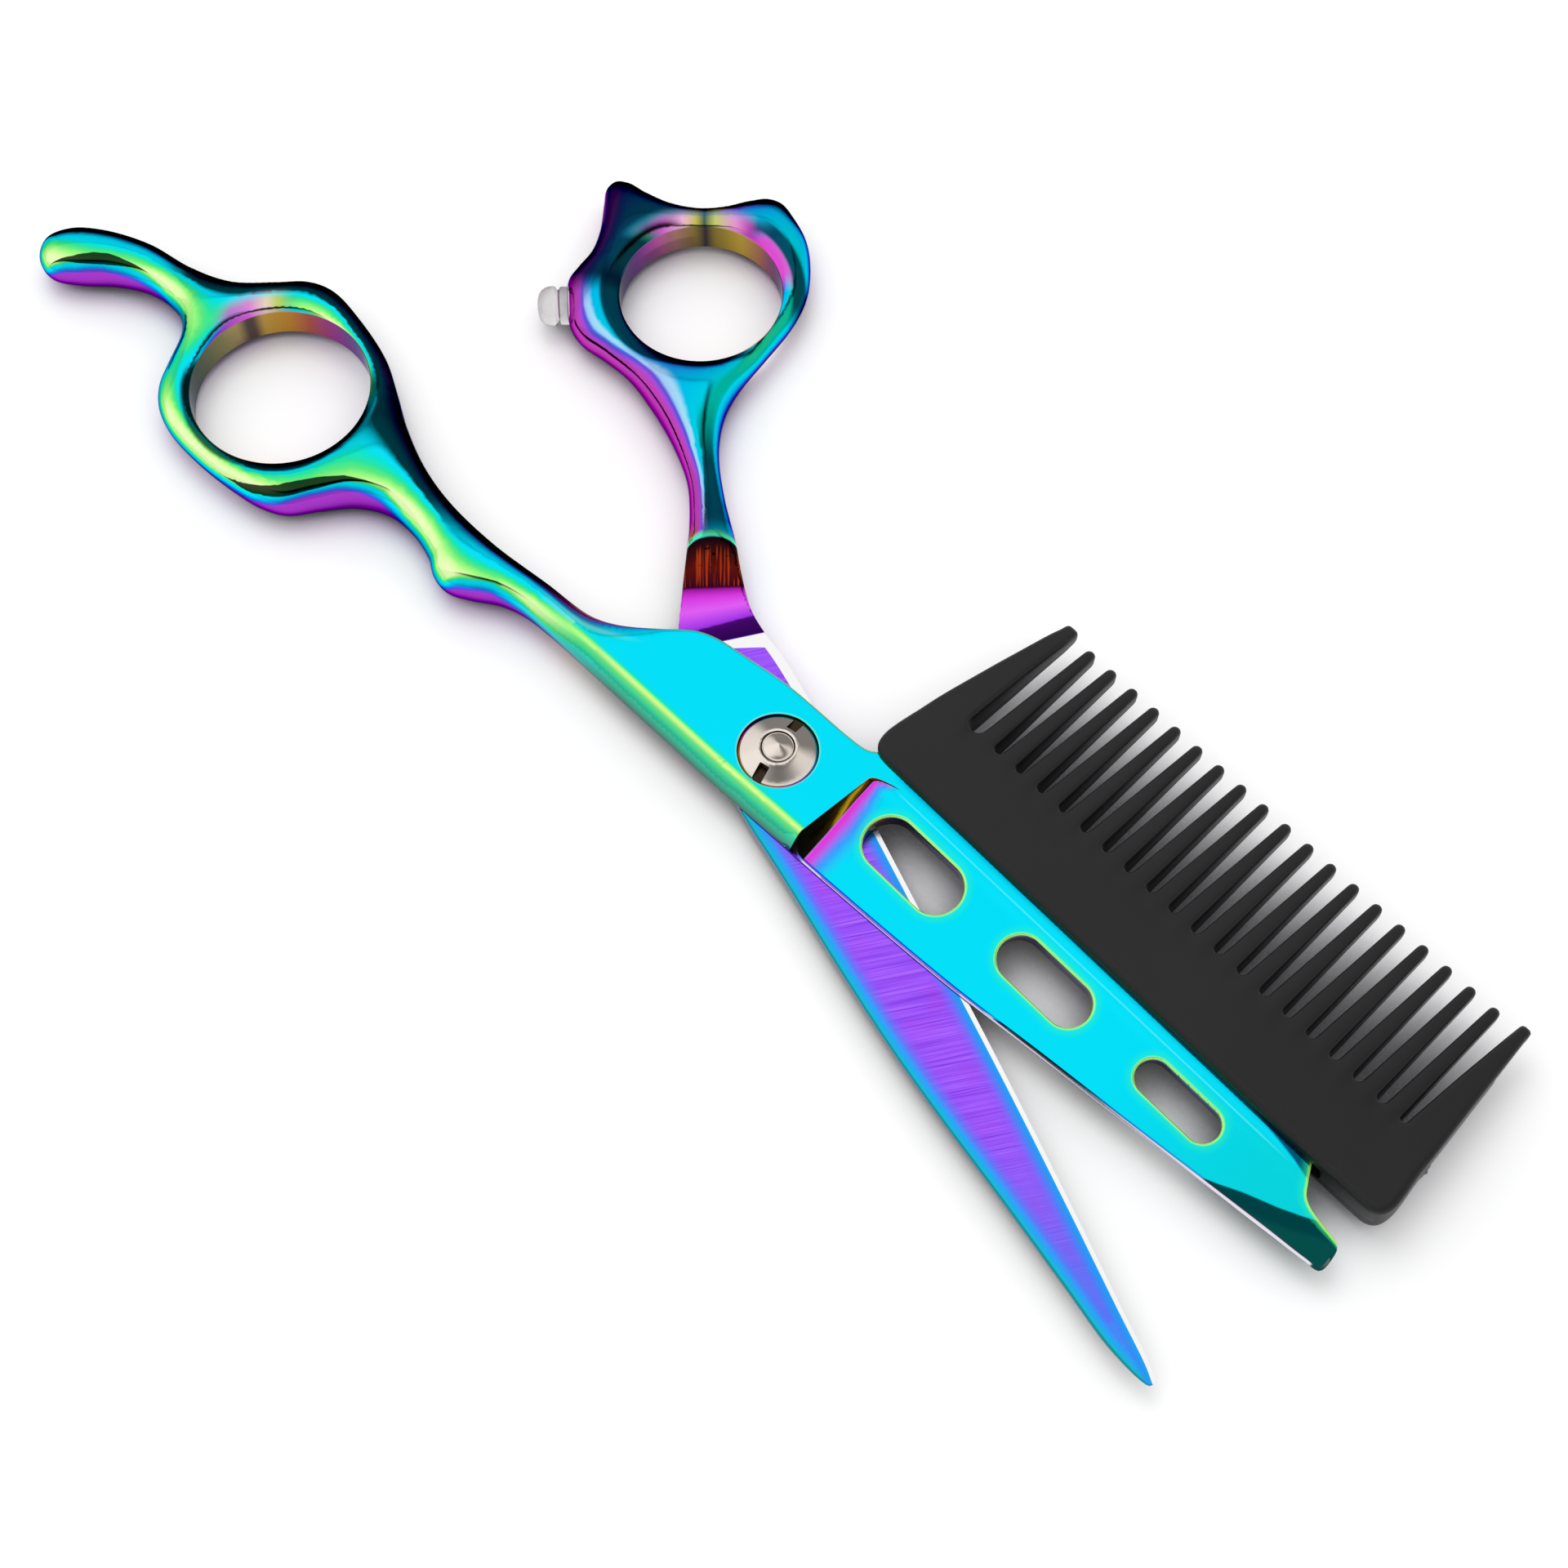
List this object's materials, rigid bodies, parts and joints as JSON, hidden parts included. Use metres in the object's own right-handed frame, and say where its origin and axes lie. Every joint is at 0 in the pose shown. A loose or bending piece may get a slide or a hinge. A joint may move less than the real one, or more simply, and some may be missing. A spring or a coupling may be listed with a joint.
{
  "type": "hairdressing shears",
  "caption": "Long straight hairdressing shears with a rainbow mirror finish, a slotted upper blade, a black clip-on guide comb, a finger rest and a clear bumper.",
  "frame": {"origin": "on the pivot axis, at the plane where the two halves meet", "axes": "+Z along the pivot axis to the side of the tension nut, +X along the spine of the upper blade to its tip"},
  "size_m": [0.2077, 0.081, 0.0085],
  "materials": {
    "rainbow_steel": "rainbow titanium coating, mirror polished",
    "turned_steel": "fine turned",
    "spring_steel": "plain rolled",
    "white_nylon": "as moulded",
    "black_plastic": "fine satin, as moulded",
    "clear_silicone": "clear, smooth"
  },
  "bodies": {
    "upper": {"upper_half": "rainbow_steel", "pivot_bushing": "white_nylon", "glide_washer": "white_nylon", "wave_washer": "spring_steel"},
    "lower": {"lower_half": "rainbow_steel", "pivot_bolt": "turned_steel", "bumper": "clear_silicone"},
    "nut": {"tension_nut": "turned_steel"},
    "comb": {"guide_comb": "black_plastic"}
  },
  "joints": [
    {"name": "pivot", "type": "hinge", "parent": "upper", "child": "lower", "pos_m": [0, 0, 0], "axis": [0, 0, 1], "range_deg": [-50, 16]},
    {"name": "comb_slide", "type": "slide", "parent": "upper", "child": "comb", "axis": [1, 0, 0], "range_m": [0, 0.085]},
    {"name": "tension_turn", "type": "hinge", "parent": "lower", "child": "nut", "pos_m": [0, 0, 0], "axis": [0, 0, 1], "range_deg": [-90, 90]}
  ]
}
